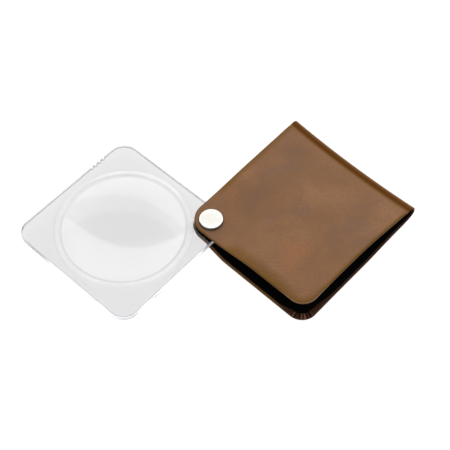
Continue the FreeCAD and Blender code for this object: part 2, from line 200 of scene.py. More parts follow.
def ease_over(value, stretch):
    """Smooth step from 0 to 1 over a stretch, its start and run."""
    start, run = stretch
    return ease((value - start) / run)


def mix(a, b, t):
    return a + (b - a) * t


def placed(angle):
    """From millimetres in a body's axes to the frame."""
    turn = Matrix.Rotation(angle, 4, "Z")
    return Matrix.Translation(PIVOT) @ turn @ Matrix.Scale(MM, 4)


CASE_PLACE = placed(CASE_ANGLE)
BLADE_PLACE = placed(CASE_ANGLE + OPEN_ANGLE)


def new_piece(name, bm, place):
    """A piece from a closed mesh in a body's axes."""
    bm.transform(place)
    bmesh.ops.recalc_face_normals(bm, faces=bm.faces)
    mesh = bpy.data.meshes.new(name)
    bm.to_mesh(mesh)
    bm.free()
    piece = bpy.data.objects.new(name, mesh)
    bpy.context.scene.collection.objects.link(piece)
    return piece


def finish_piece(piece, body, material, sharp=math.radians(40)):
    """Shade a piece, give it its material, and fix it to its body in place of its CAD node."""
    piece.data.materials.clear()
    piece.data.materials.append(material)
    piece.data.shade_smooth()
    piece.data.set_sharp_from_angle(angle=sharp)
    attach(piece, body)
    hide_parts(piece.name.removesuffix("_visual"))


def circle(bm, radius, height, sides):
    """A ring of vertices about the rivet."""
    turns = [math.tau * i / sides for i in range(sides)]
    return [bm.verts.new((radius * math.cos(t), radius * math.sin(t), height)) for t in turns]


def join_rings(bm, rings):
    """Quads between closed rings of equal count."""
    count = len(rings[0])
    for lower, upper in zip(rings, rings[1:]):
        for i in range(count):
            j = (i + 1) % count
            bm.faces.new((lower[i], lower[j], upper[j], upper[i]))


def fan(bm, ring, tip):
    for i, vertex in enumerate(ring):
        bm.faces.new((vertex, ring[(i + 1) % len(ring)], tip))


def drill(piece, place, radius):
    """Cut a round hole along a body's axis at the rivet."""
    half_length = 12.0
    sides = 72
    bm = bmesh.new()
    rings = [circle(bm, radius, z, sides) for z in (-half_length, half_length)]
    join_rings(bm, rings)
    for ring in rings:
        bm.faces.new(ring)
    cutter = new_piece("cutter", bm, place)
    modifier = piece.modifiers.new("hole", "BOOLEAN")
    modifier.object = cutter
    modifier.operation = "DIFFERENCE"
    modifier.solver = "EXACT"
    graph = bpy.context.evaluated_depsgraph_get()
    drilled = bpy.data.meshes.new_from_object(piece.evaluated_get(graph))
    piece.modifiers.clear()
    plain = piece.data
    piece.data = drilled
    bpy.data.meshes.remove(plain)
    bpy.data.meshes.remove(cutter.data)


def lathe(name, profile):
    """A solid turned about the rivet from (radius, height) points that start and end on it."""
    sides = 128
    bm = bmesh.new()
    rings = [circle(bm, radius, height, sides) for radius, height in profile[1:-1]]
    join_rings(bm, rings)
    fan(bm, rings[0], bm.verts.new((0, 0, profile[0][1])))
    fan(bm, rings[-1], bm.verts.new((0, 0, profile[-1][1])))
    return new_piece(name, bm, CASE_PLACE)


def arc(centre, radius, start, end, steps):
    """Points of a round stretch of a profile, angles in degrees."""
    points = []
    for i in range(steps + 1):
        t = math.radians(mix(start, end, i / steps))
        points.append((centre[0] + radius * math.cos(t), centre[1] + radius * math.sin(t)))
    return points


# ---------------------------------------------------------------- material nodes

# marks on the leather: burnish and painted shade at the edges, painted shade at the fold and in
# the hem, creases, and painted shade and highlights on the gathers and the front's rim
LEATHER_MARKS = ("edge", "fold", "hem", "pleat_light", "crease", "painted_highlight")


def add(tree, kind, sockets=None, **settings):
    """A shader node; sockets maps an input's name or number to a value or another output."""
    item = tree.nodes.new(kind)
    for name, value in settings.items():
        setattr(item, name, value)
    for socket, source in (sockets or {}).items():
        if isinstance(source, bpy.types.NodeSocket):
            tree.links.new(source, item.inputs[socket])
        else:
            item.inputs[socket].default_value = source
    return item


def texture_noise(tree, vector, scale, detail=3.0, roughness=0.5, distortion=0.0):
    settings = {
        "Vector": vector,
        "Scale": scale,
        "Detail": detail,
        "Roughness": roughness,
        "Distortion": distortion,
    }
    return add(tree, "ShaderNodeTexNoise", settings).outputs[0]


def ramp(tree, factor, *stops):
    """Colours along a factor, as (position, (r, g, b))."""
    item = add(tree, "ShaderNodeValToRGB", {0: factor})
    elements = item.color_ramp.elements
    while len(elements) < len(stops):
        elements.new(1.0)
    for element, (position, colour) in zip(elements, stops):
        element.position = position
        element.color = (*colour, 1.0)
    return item.outputs[0]


def span(tree, value, low, high, to_low=0.0, to_high=1.0):
    """A value brought smoothly from one range to another."""
    sockets = {0: value, 1: low, 2: high, 3: to_low, 4: to_high}
    item = add(tree, "ShaderNodeMapRange", sockets, interpolation_type="SMOOTHSTEP")
    return item.outputs[0]


def blend_colour(tree, factor, under, over):
    """The linked colour under, with the plain colour over laid on it by a factor."""
    sockets = {0: factor, 6: under, 7: (*over, 1.0)}
    return add(tree, "ShaderNodeMix", sockets, data_type="RGBA").outputs[2]


def calculate(tree, operation, first, second):
    return add(tree, "ShaderNodeMath", {0: first, 1: second}, operation=operation).outputs[0]


def new_material(name):
    """A material with its tree, its Principled shader and the piece's own coordinates."""
    material = bpy.data.materials.new(name)
    material.use_nodes = True
    tree = material.node_tree
    shader = next(n for n in tree.nodes if n.type == "BSDF_PRINCIPLED")
    place = add(tree, "ShaderNodeTexCoord").outputs["Object"]
    return material, tree, shader, place


def set_bump(tree, shader, height, strength, distance):
    sockets = {"Height": height, "Strength": strength, "Distance": distance}
    bump = add(tree, "ShaderNodeBump", sockets)
    tree.links.new(bump.outputs[0], shader.inputs["Normal"])


def mark(tree, name):
    """A number kept on the mesh's points."""
    return add(tree, "ShaderNodeAttribute", attribute_name=name).outputs["Fac"]


def upright_share(tree, low, high):
    """0 where a piece's surface lies flat, 1 where it stands upright."""
    normal = add(tree, "ShaderNodeTexCoord").outputs["Normal"]
    parts = add(tree, "ShaderNodeSeparateXYZ", {0: normal}).outputs
    return span(tree, calculate(tree, "ABSOLUTE", parts[2], 0.0), high, low)


def height_off_middle(tree, place):
    """How far above the blade's middle plane a point lies."""
    up = add(tree, "ShaderNodeSeparateXYZ", {0: place}).outputs[2]
    return calculate(tree, "SUBTRACT", up, PIVOT.z)


def leather_material():
    material, tree, shader, place = new_material("brown_leather_mottled")
    clouds = texture_noise(tree, place, 42.0, 5.0, 0.50, 0.35)
    shifted = add(tree, "ShaderNodeMapping", {0: place, 1: (0.31, 0.12, 0.05)}).outputs[0]
    tints = texture_noise(tree, shifted, 55.0, 3.0, 0.5)
    fine = texture_noise(tree, place, 900.0, 3.0, 0.6)
    pores = texture_noise(tree, place, 2300.0, 2.0, 0.5)
    edge, fold, hem, pleat_light, crease, painted_highlight = (mark(tree, name) for name in LEATHER_MARKS)
    wear_and_shade = calculate(tree, "ADD", edge, calculate(tree, "MULTIPLY", clouds, 0.30))
    colour = ramp(
        tree,
        clouds,
        (0.32, (0.131, 0.073, 0.046)),
        (0.45, (0.153, 0.081, 0.043)),
        (0.58, (0.174, 0.089, 0.045)),
        (0.72, (0.200, 0.104, 0.053)),
    )
    # tints and pores, burnish towards the edges with painted shade on the rolled edges, painted
    # shade where the front turns over into the spine, painted shade in the hem with painted shade
    # and highlights on its gathers, and a painted highlight on the front's rim, each over the ones
    # before
    for share, tint in (
        (span(tree, tints, 0.55, 0.74, 0.0, 0.50), RUST),
        (span(tree, tints, 0.46, 0.30, 0.0, 0.55), PLUM),
        (span(tree, fine, 0.35, 0.72, 0.0, 0.45), FLECK),
        (span(tree, pores, 0.60, 0.74, 0.0, 0.35), PORE),
        (span(tree, wear_and_shade, 1.10, 0.15, 0.0, 0.92), OCHRE),
        (span(tree, fold, 0.0, 0.50, 0.0, 0.80), FOLD_SIDE_SHADE),
        (span(tree, fold, 0.25, 1.0, 0.0, 0.96), FOLD_LINE_SHADE),
        (span(tree, hem, 0.0, 1.0, 0.0, 0.90), HEM_SHADE),
        (span(tree, pleat_light, 0.25, 0.80), PLEAT_VALLEY_SHADE),
        (span(tree, pleat_light, -0.05, -0.75), PLEAT_RIDGE_HIGHLIGHT),
        (span(tree, painted_highlight, 0.0, 1.0, 0.0, 0.70), ROLL_HIGHLIGHT),
    ):
        colour = blend_colour(tree, share, colour, tint)
    tree.links.new(colour, shader.inputs["Base Color"])

    cells = {"Vector": place, "Scale": 1300.0, "Randomness": 1.0}
    grain = add(tree, "ShaderNodeTexVoronoi", cells, feature="SMOOTH_F1").outputs["Distance"]
    along = {0: place, 2: (0.0, 0.0, -CASE_ANGLE), 3: (0.45, 1.7, 1.0)}
    wrinkle_axes = add(tree, "ShaderNodeMapping", along).outputs[0]
    wrinkles = texture_noise(tree, wrinkle_axes, 620.0, 4.0, 0.55, 0.6)
    deepened = calculate(tree, "MULTIPLY", wrinkles, span(tree, crease, 0.0, 1.0, 0.8, 4.6))
    height = calculate(tree, "ADD", calculate(tree, "MULTIPLY", grain, 0.45), fine)
    height = calculate(tree, "ADD", height, deepened)
    set_bump(tree, shader, height, 0.45, 0.00016)
    rough = span(tree, fine, 0.3, 0.7, 0.40, 0.54)
    rough = calculate(tree, "ADD", rough, calculate(tree, "MULTIPLY", fold, 0.25))
    tree.links.new(rough, shader.inputs["Roughness"])
    shader.inputs["Specular IOR Level"].default_value = 0.06
    return material


def lining_material():
    thread_pitch = 0.00045
    material, tree, shader, place = new_material("black_lining_cloth")
    axes = add(tree, "ShaderNodeMapping", {0: place, 2: (0.0, 0.0, -CASE_ANGLE)}).outputs[0]
    parts = add(tree, "ShaderNodeSeparateXYZ", {0: axes}).outputs
    threads = []
    for number in (0, 1):
        phase = calculate(tree, "MULTIPLY", parts[number], math.tau / thread_pitch)
        wave = calculate(tree, "SINE", phase, 0.0)
        threads.append(calculate(tree, "ABSOLUTE", wave, 0.0))
    weave = calculate(tree, "MAXIMUM", *threads)
    fuzz = texture_noise(tree, place, 2600.0, 3.0, 0.6)
    shade = calculate(tree, "MULTIPLY", weave, fuzz)
    colour = ramp(tree, shade, (0.15, (0.0005, 0.0006, 0.0007)), (0.75, (0.0024, 0.0024, 0.0026)))
    tree.links.new(colour, shader.inputs["Base Color"])
    tree.links.new(span(tree, fuzz, 0.3, 0.7, 0.84, 0.97), shader.inputs["Roughness"])
    set_bump(tree, shader, calculate(tree, "ADD", weave, fuzz), 0.35, 0.00008)
    shader.inputs["Specular IOR Level"].default_value = 0.05
    return material


def acrylic_material():
    """Clear moulding: a little darker where it is thick, with satin walls painted lighter and
    given a painted glow, and painted shade on the rim and in the lens's bends.
    """
    wall_rough = 0.34
    painted_wall_glow = 0.34
    material, tree, shader, place = new_material("clear_acrylic_polished")
    wall = upright_share(tree, 0.15, 0.75)
    rim = mark(tree, "rim")
    haze = texture_noise(tree, place, 45.0, 3.0, 0.5)
    height = height_off_middle(tree, place)
    thick = span(tree, height, BLADE_THICK / 2 * MM, DOME_HEIGHT[FRONT] * MM)
    colour = ramp(tree, haze, (0.30, (0.736, 0.732, 0.745)), (0.70, (0.750, 0.748, 0.756)))
    # darker where thick; the walls painted lighter, and painted shade on the rim and in the lens's
    # bends
    for share, tint in (
        (thick, (0.655, 0.655, 0.668)),
        (wall, (0.86, 0.87, 0.89)),
        (calculate(tree, "MULTIPLY", rim, 0.9), (0.22, 0.23, 0.25)),
    ):
        colour = blend_colour(tree, share, colour, tint)
    tree.links.new(colour, shader.inputs["Base Color"])
    stretched = add(tree, "ShaderNodeMapping", {0: place, 3: (1.0, 14.0, 1.0)}).outputs[0]
    scratches = texture_noise(tree, stretched, 700.0, 2.0, 0.7)
    polish = span(tree, scratches, 0.60, 0.80, 0.0, 0.035)
    satin = calculate(tree, "MULTIPLY", wall, wall_rough)
    tree.links.new(calculate(tree, "ADD", polish, satin), shader.inputs["Roughness"])
    # painted glow of the walls, kept off the rim
    inside_rim = calculate(tree, "MULTIPLY", wall, calculate(tree, "SUBTRACT", 1.0, rim))
    glow = calculate(tree, "MULTIPLY", inside_rim, painted_wall_glow)
    tree.links.new(glow, shader.inputs["Emission Strength"])
    shader.inputs["Emission Color"].default_value = (0.92, 0.95, 1.0, 1.0)
    shader.inputs["Transmission Weight"].default_value = 1.0
    shader.inputs["IOR"].default_value = 1.49
    return material


def nickel_material():
    """Plated caps: satin on the flat top, bright on the rolled rim, with painted shade at its
    foot.
    """
    dark_up_to = CAP_SEAT + 0.60 * MM
    unshaded_from = CAP_SEAT + 1.05 * MM
    material, tree, shader, place = new_material("polished_nickel")
    cloud = texture_noise(tree, place, 420.0, 4.0, 0.6)
    colour = ramp(tree, cloud, (0.30, (0.56, 0.545, 0.515)), (0.70, (0.62, 0.61, 0.58)))
    # painted shade over the lower rim, darkest at the foot
    off_middle = calculate(tree, "ABSOLUTE", height_off_middle(tree, place), 0.0)
    cap_foot_shade = span(tree, off_middle, unshaded_from, dark_up_to)
    colour = blend_colour(tree, cap_foot_shade, colour, (0.055, 0.048, 0.042))
    tree.links.new(colour, shader.inputs["Base Color"])
    specks = texture_noise(tree, place, 3600.0, 2.0, 0.5)
    satin = span(tree, specks, 0.3, 0.7, 0.26, 0.34)
    rim = upright_share(tree, 0.55, 0.97)
    duller = calculate(tree, "SUBTRACT", 1.0, calculate(tree, "MULTIPLY", rim, 0.6))
    rough = calculate(tree, "MULTIPLY", satin, duller)
    tree.links.new(rough, shader.inputs["Roughness"])
    set_bump(tree, shader, specks, 0.06, 0.00002)
    shader.inputs["Metallic"].default_value = 1.0
    return material


def metal_material(name, bright, dull, rough_low, rough_high, bump):
    material, tree, shader, place = new_material(name)
    cloud = texture_noise(tree, place, 420.0, 4.0, 0.6)
    colour = ramp(tree, cloud, (0.30, dull), (0.70, bright))
    tree.links.new(colour, shader.inputs["Base Color"])
    specks = texture_noise(tree, place, 3600.0, 2.0, 0.5)
    rough = calculate(tree, "MULTIPLY", calculate(tree, "ADD", cloud, specks), 0.5)
    tree.links.new(span(tree, rough, 0.3, 0.7, rough_low, rough_high), shader.inputs["Roughness"])
    set_bump(tree, shader, specks, bump, 0.00002)
    shader.inputs["Metallic"].default_value = 1.0
    return material


def sheet_material(name, pale, dark, scale, rough):
    """Paperboard or nylon: a fine mottle over a dry surface."""
    material, tree, shader, place = new_material(name)
    fibres = add(tree, "ShaderNodeMapping", {0: place, 3: (1.0, 3.5, 1.0)}).outputs[0]
    mottle = texture_noise(tree, fibres, scale, 5.0, 0.65, 0.4)
    tree.links.new(ramp(tree, mottle, (0.32, dark), (0.68, pale)), shader.inputs["Base Color"])
    tree.links.new(span(tree, mottle, 0.3, 0.7, rough, rough + 0.12), shader.inputs["Roughness"])
    set_bump(tree, shader, mottle, 0.25, 0.00006)
    return material


# ---------------------------------------------------------------- lens blade

SIDE_STEPS = 36
CORNER_STEPS = 16
NOTCH_STEPS = 10
DOME_RINGS = 34
BEND_STEPS = 6
SLANT_STEPS = 4
RING_SOFT = 0.8                # rounding where the lens and the plate meet the sunk ring
FOOT_SHADE = 0.15              # painted shade: how much darker the material is in the bends and on the rim
CREST_SHADE = 0.10
RIM_SHADE = {FRONT: 0.85, BACK: 1.0}
FACE_INSETS = (2.0, 0.7)       # the flat face's outlines, drawn in by this much
NOTCH_PLAIN = 1.0              # outlines drawn in further than this pass the notches straight


def notched_side(x_edge, inset, low, high):
    """Points up the blade's far side, round each thumb notch, without the side's two ends."""
    points = []
    plain = inset > NOTCH_PLAIN
    radius = NOTCH_RADIUS if plain else NOTCH_RADIUS + inset
    tilt = 0.0 if plain else math.asin(inset / radius)
    centres = [NOTCH_FIRST + NOTCH_PITCH * k for k in range(NOTCH_COUNT)]
    lead = 4
    for i in range(1, lead):
        points.append((x_edge - inset, mix(low, centres[0] - NOTCH_PITCH / 2, i / lead)))
    for centre in centres:
        points.append((x_edge - inset, centre - NOTCH_PITCH / 2))
        for i in range(NOTCH_STEPS + 1):
            turn = mix(tilt, math.pi - tilt, i / NOTCH_STEPS)
            x = x_edge - (inset if plain else radius * math.sin(turn))
            points.append((x, centre - radius * math.cos(turn)))
    start = centres[-1] + NOTCH_PITCH / 2
    points += [(x_edge - inset, mix(start, high, i / SIDE_STEPS)) for i in range(SIDE_STEPS)]
    return points


def blade_outline(inset):
    """Points round the blade's outline, drawn in by inset, in the blade's axes."""
    near = -BLADE_INSET
    far = BLADE_SIDE - BLADE_INSET
    corner = BLADE_CORNER - inset
    low = near + BLADE_CORNER
    high = far - BLADE_CORNER
    points = []
    for number, centre in enumerate(((high, low), (high, high), (low, high), (low, low))):
        points += arc(centre, corner, 90 * number - 90, 90 * number, CORNER_STEPS)
        if number == 0:
            points += notched_side(far, inset, low, high)
            continue
        turn = math.radians(90 * number)
        middle = Vector(((near + far) / 2, (near + far) / 2))
        away = Vector((math.cos(turn), math.sin(turn))) * (BLADE_SIDE / 2 - inset)
        along = Vector((-math.sin(turn), math.cos(turn)))
        half = BLADE_SIDE / 2 - BLADE_CORNER
        for i in range(1, SIDE_STEPS):
            spot = middle + away + along * mix(-half, half, i / SIDE_STEPS)
            points.append(tuple(spot))
    return points


def dome_height(radius, side):
    rise = DOME_HEIGHT[side] - DOME_EDGE
    curve = (DOME_RADIUS ** 2 + rise ** 2) / (2 * rise)
    return DOME_HEIGHT[side] - curve + math.sqrt(curve ** 2 - radius ** 2)


def lens_profile(side):
    """(radius, height off the middle plane, shade) over the lens, its sunk ring and its rim."""
    half = BLADE_THICK / 2
    points = []
    for i in range(1, DOME_RINGS + 1):
        radius = (DOME_RADIUS - RING_SOFT) * i / DOME_RINGS
        points.append((radius, dome_height(radius, side), 0.0))
    slope = (half - DOME_EDGE) / (SEAT_RADIUS - DOME_RADIUS)
    foot = (DOME_RADIUS + RING_SOFT, DOME_EDGE + slope * RING_SOFT)
    crest_in = (SEAT_RADIUS - RING_SOFT, half - slope * RING_SOFT)
    crest_out = (SEAT_RADIUS + RING_SOFT, half)
    bends = (
        (points[-1][:2], (DOME_RADIUS, DOME_EDGE), foot, FOOT_SHADE),
        (crest_in, (SEAT_RADIUS, half), crest_out, CREST_SHADE),
    )
    for start, knee, end, shade in bends:
        for i in range(1, BEND_STEPS + 1):
            t = i / BEND_STEPS
            shares = ((1 - t) ** 2, 2 * t * (1 - t), t * t)
            spot = [sum(s * p[k] for s, p in zip(shares, (start, knee, end))) for k in (0, 1)]
            points.append((*spot, shade * math.sin(math.pi * t)))
        if end is foot:
            for k in range(1, SLANT_STEPS + 1):
                points.append((*Vector(foot).lerp(Vector(crest_in), k / SLANT_STEPS), 0.0))
    return points


def blade_face(side):
    """Rings of (x, y, height, shade) over one face, from the lens's centre to the side wall."""
    half = BLADE_THICK / 2
    middle = BLADE_SIDE / 2 - BLADE_INSET
    turns = [math.atan2(y - middle, x - middle) for x, y in blade_outline(FACE_INSETS[0])]
    face = []
    for radius, height, shade in lens_profile(side):
        spots = [(radius * math.cos(t), radius * math.sin(t)) for t in turns]
        face.append([(middle + x, middle + y, height, shade) for x, y in spots])
    for inset in FACE_INSETS:
        face.append([(x, y, half, 0.0) for x, y in blade_outline(inset)])
    for i in range(BEND_STEPS + 1):
        turn = math.radians(90 * (1 - i / BEND_STEPS))
        inset = BLADE_ROUND * (1 - math.cos(turn))
        height = half - BLADE_ROUND * (1 - math.sin(turn))
        shade = RIM_SHADE[side] * math.sin(math.pi * i / BEND_STEPS)
        face.append([(x, y, height, shade) for x, y in blade_outline(inset)])
    return face


def make_blade(material):
    middle = BLADE_SIDE / 2 - BLADE_INSET
    wall = [(x, y, 0.0, 0.0) for x, y in blade_outline(0.0)]
    back = [[(x, y, -z, shade) for x, y, z, shade in ring] for ring in reversed(blade_face(BACK))]
    bm = bmesh.new()
    rim = bm.verts.layers.float.new("rim")
    rings = []
    for points in (*blade_face(FRONT), wall, *back):
        ring = []
        for x, y, z, shade in points:
            vertex = bm.verts.new((x, y, z))
            vertex[rim] = shade
            ring.append(vertex)
        rings.append(ring)
    join_rings(bm, rings)
    fan(bm, rings[0], bm.verts.new((middle, middle, DOME_HEIGHT[FRONT])))
    fan(bm, rings[-1], bm.verts.new((middle, middle, -DOME_HEIGHT[BACK])))
    blade = new_piece("lens_blade_visual", bm, BLADE_PLACE)
    drill(blade, BLADE_PLACE, BLADE_HOLE)
    finish_piece(blade, "blade", material)


# ---------------------------------------------------------------- folded case

CORNER_ROWS = 36
PANEL_ROWS = 60
SPINE_ROWS = 18
COLUMNS = 84
ROLL_STEPS = 10
HEM_STEPS = 6
PANEL_TOP = 64.4               # the fold's centre, about, where the panels' rows end
SPINE_TOP = 4.0                # how much further the side edges are followed round the fold
FOLD_CROWDING = 1.3            # rows are closer together towards the fold


def fold_rows():
    """Rows of the folded sheet, from the front's open edge, over the fold, to the back's."""
    corner = [("corner", math.pi / 2 * i / CORNER_ROWS) for i in range(CORNER_ROWS + 1)]
    panel = []
    for i in range(1, PANEL_ROWS + 1):
        panel.append(("panel", 1 - (1 - i / PANEL_ROWS) ** FOLD_CROWDING))
    spine = [(FRONT, "spine", math.pi * i / SPINE_ROWS) for i in range(1, SPINE_ROWS)]
    front = [(FRONT, *row) for row in corner + panel]
    back = [(BACK, *row) for row in reversed(corner + panel)]
    return front + spine + back


def half_gap(x, y, side):
    """Middle plane to the lining: pinched at the rivet, drawn in at the side and the fold."""
    rise = ease((math.hypot(x, y) - PINCH_RADIUS) / RISE_LENGTH[side])
    at_side = SIDE_DRAW * ease((SIDE_START - x) / SIDE_LENGTH)
    at_fold = FOLD_DRAW * ease((y - FOLD_START) / FOLD_LENGTH)
    draw = (at_side ** 4 + at_fold ** 4) ** 0.25
    return GAP_PIVOT + (GAP_ROOM[side] - GAP_PIVOT) * rise * (1 - draw)


def fold_centre(x):
    """y of the line that the fold turns about."""
    u = (x - FOLD_MIDDLE) / FOLD_HALF
    reach = FOLD_REACH - FOLD_LEAN * u + FOLD_BOW * u * u
    return reach - FOLD_THICK - half_gap(x, FOLD_REACH, FRONT)


def row_thinning(row, start=BOARD_END, run=THIN_RUN):
    """0 where the boards stiffen the sheet, 1 in the fold."""
    if row[1] == "corner":
        return 0.0
    if row[1] == "spine":
        return 1.0
    return ease((mix(0.0, PANEL_TOP, row[2]) - start) / run)


def outer_depth(row, edge, openness):
    """Depth of the leather's outer face, less where it falls away to the turned edges."""
    thinning = row_thinning(row, SOFT_START, SOFT_RUN)
    fall = mix(SIDE_FALL, OPEN_FALL[row[0]], openness) * (1 - ease(edge / FALL_RUN))
    return mix(PANEL_THICK, FOLD_THICK, thinning) - fall * (1 - thinning)


def hem_width(row, across):
    """The turned-in hem: widest round the far open corner, hardly there at the rivet."""
    if row[1] == "corner":
        return mix(HEM_LEAST, HEM_WIDTH, ease_over(across, HEM_WIDENS))
    up = 1.0 if row[1] == "spine" else row[2]
    at_left = mix(HEM_LEAST, HEM_SIDE, ease(up / HEM_SWELLS) * ease((1 - up) / HEM_SETTLES))
    at_right = mix(HEM_LEAST, HEM_WIDTH, ease((HEM_NARROWS - up) / HEM_NARROWS))
    return mix(at_left, at_right, across)


def side_edges(side, y):
    """x of the case's two side edges at y, each drawn in between its ends."""
    share = min(1.0, (y + NEAR[side]) / (FOLD_REACH + NEAR[side]))
    bow = 4 * share * (1 - share)
    left = mix(-LEFT_OPEN, -LEFT_FOLD, share) + LEFT_BOW * bow
    right = mix(RIGHT_OPEN[side], RIGHT_FOLD, share) - RIGHT_BOW[side] * bow
    return left, right


def edge_distance(left, right, near):
    """Distance from the outline, from those to its two side edges and its open edge."""
    aside, corner = (left, CORNER_RIVET) if left < right else (right, CORNER_OPEN)
    if aside < corner and near < corner:
        return corner - math.hypot(corner - aside, corner - near)
    return min(aside, near)


def open_share(lead, x):
    """1 along the open edge, 0 at the sides and the rivet; lead is by how much it is nearer."""
    return ease((lead + OPEN_TURN) / (2 * OPEN_TURN)) * ease_over(x, OPEN_GROWS)


def sheet_point(row, across, inset, depth):
    """A point of the folded sheet and its distance from the edge.

    across runs from 0 at the left side to 1 at the right one, inset(row, across) is how far
    the sheet's border lies inside the outline, and depth(row, edge, openness) is how far the
    point lies outside the lining's face; openness is 1 along the open edge, 0 at the sides.
    """
    side, kind, at = row
    drawn = [inset(row, end) for end in (0.0, 1.0)]
    here = inset(row, across)
    corner = mix(CORNER_RIVET, CORNER_OPEN, across)
    skew = NEAR[side] + SKEW[side] * across
    y = mix(corner - skew, PANEL_TOP, at)
    if kind == "corner":
        y = corner - (corner - here) * math.cos(at) - skew
        drawn[0] = CORNER_RIVET - (CORNER_RIVET - drawn[0]) * math.sin(at)
        drawn[1] = CORNER_OPEN - (CORNER_OPEN - drawn[1]) * math.sin(at)
    elif kind == "spine":
        y = PANEL_TOP + SPINE_TOP * math.sin(at)
    left, right = side_edges(side, y)
    x = mix(left + drawn[0], right - drawn[1], across)
    centre = fold_centre(x)
    if kind == "panel":
        y = mix(corner - skew, centre, at)
    elif kind == "spine":
        y = centre
    near = y + skew
    edge = edge_distance(x - left, right - x, near)
    openness = open_share(min(x - left, right - x) - near, x)
    layer = depth(row, edge, openness)
    blend = ease((y - FOLD_START) / FOLD_LENGTH)
    gap = mix(half_gap(x, y, side), half_gap(x, y, FRONT), blend)
    away = (y - centre + GROOVE_BACK) / GROOVE_WIDTH
    dip = GROOVE_DEPTH * math.exp(-away * away)
    height = gap + layer - dip
    if kind == "spine":
        return Vector((x, centre + height * math.sin(at), height * math.cos(at))), edge
    return Vector((x, y, side * min(height, PIVOT.z / MM))), edge


def border(rows):
    """(row number, column) round the sheet's border: open edge, right side, open edge, left."""
    last = len(rows) - 1
    loop = [(0, j) for j in range(COLUMNS + 1)]
    loop += [(i, COLUMNS) for i in range(1, last + 1)]
    loop += [(last, j) for j in range(COLUMNS - 1, -1, -1)]
    loop += [(i, 0) for i in range(last - 1, 0, -1)]
    return loop


def sheet_grid(bm, rows, inset, depth):
    """Vertices over the whole folded sheet, as rows of columns."""
    grid = []
    for row in rows:
        line = []
        for j in range(COLUMNS + 1):
            point, _ = sheet_point(row, j / COLUMNS, inset, depth)
            line.append(bm.verts.new(point))
        grid.append(line)
    for lower, upper in zip(grid, grid[1:]):
        for j in range(COLUMNS):
            bm.faces.new((lower[j], lower[j + 1], upper[j + 1], upper[j]))
    return grid


def roll_radius(row, across):
    """Half the leather's thickness at its turned edge, where the open edge falls further."""
    openness = 0.0
    if row[1] == "corner":
        lead = ROLL_CORNER * (math.cos(row[2]) - math.sin(row[2]))
        openness = open_share(lead, mix(-LEFT_OPEN, RIGHT_OPEN[row[0]], across))
    return outer_depth(row, 0.0, openness) / 2


def leather_inner(row, edge=0.0, openness=0.0):
    """Depth of the leather's inner face, which is the same at the edges as elsewhere."""
    return mix(LEATHER_FACE, LEATHER_FACE_FOLD, row_thinning(row))


def painted_fold_shade(row, point):
    """How much shade is painted on the leather where the front turns over into the spine, 0 to 1.
    """
    centre = fold_centre(point.x)
    run = point.y - centre
    if row[1] == "spine":
        run = row[2] * (half_gap(point.x, FOLD_REACH, FRONT) + FOLD_THICK)
    return math.exp(-(((run - FOLD_DARK) / FOLD_DARK_WIDTH) ** 2))


def pleat_height(row, across):
    """Gathers of the hem round the open corners, 0 to 1 from valley to ridge, and how fully
    they show."""
    if row[1] != "corner" or 0.0 < across < 1.0:
        return 0.0, 0.0
    share = row[2] / (math.pi / 2)
    shown = ease(share / PLEAT_FADE) * ease((1 - share) / PLEAT_FADE)
    spacing = math.sin(PLEAT_WOBBLE_TURN * share + PLEAT_WOBBLE_START[row[0]])
    ridge = abs(math.sin(math.pi * PLEATS * share + PLEAT_WOBBLE * spacing))
    size = math.sin(PLEAT_UNEVEN_TURN * share + PLEAT_UNEVEN_START)
    return ridge * (1 - PLEAT_UNEVEN + PLEAT_UNEVEN * size), shown


def wear_distance(row, point, edge):
    """Distance from the edge for the leather's burnish, 0 to 1: widest at the open edge."""
    near = point.y + NEAR[row[0]]
    run = mix(BURNISH_OPEN, BURNISH_SIDE, ease_over(near, BURNISH_TURN))
    run *= mix(1.0, BURNISH_CORNER, ease_over(point.x, BURNISH_NARROWS))
    by_rivet = 1 - ease_over(math.hypot(point.x, point.y), BURNISH_STARTS)
    return mix(min(1.0, edge / run), 1.0, by_rivet)


def hem_shade(row, across):
    """The hem's painted shade is darkest round the far open corner and up the side from it."""
    share = ease_over(across, HEM_SHADE_GROWS) if row[1] == "corner" else across
    return mix(HEM_SHADE_LEAST, 1.0, share)


def highlight_share(row, across):
    """Where a highlight is painted on the front's rim: round its far open corner."""
    if row[0] == BACK or row[1] == "spine":
        return 0.0
    if row[1] == "corner":
        return ease_over(across, HIGHLIGHT_GROWS)
    return across * (1 - ease(row[2] / HIGHLIGHT_ENDS))


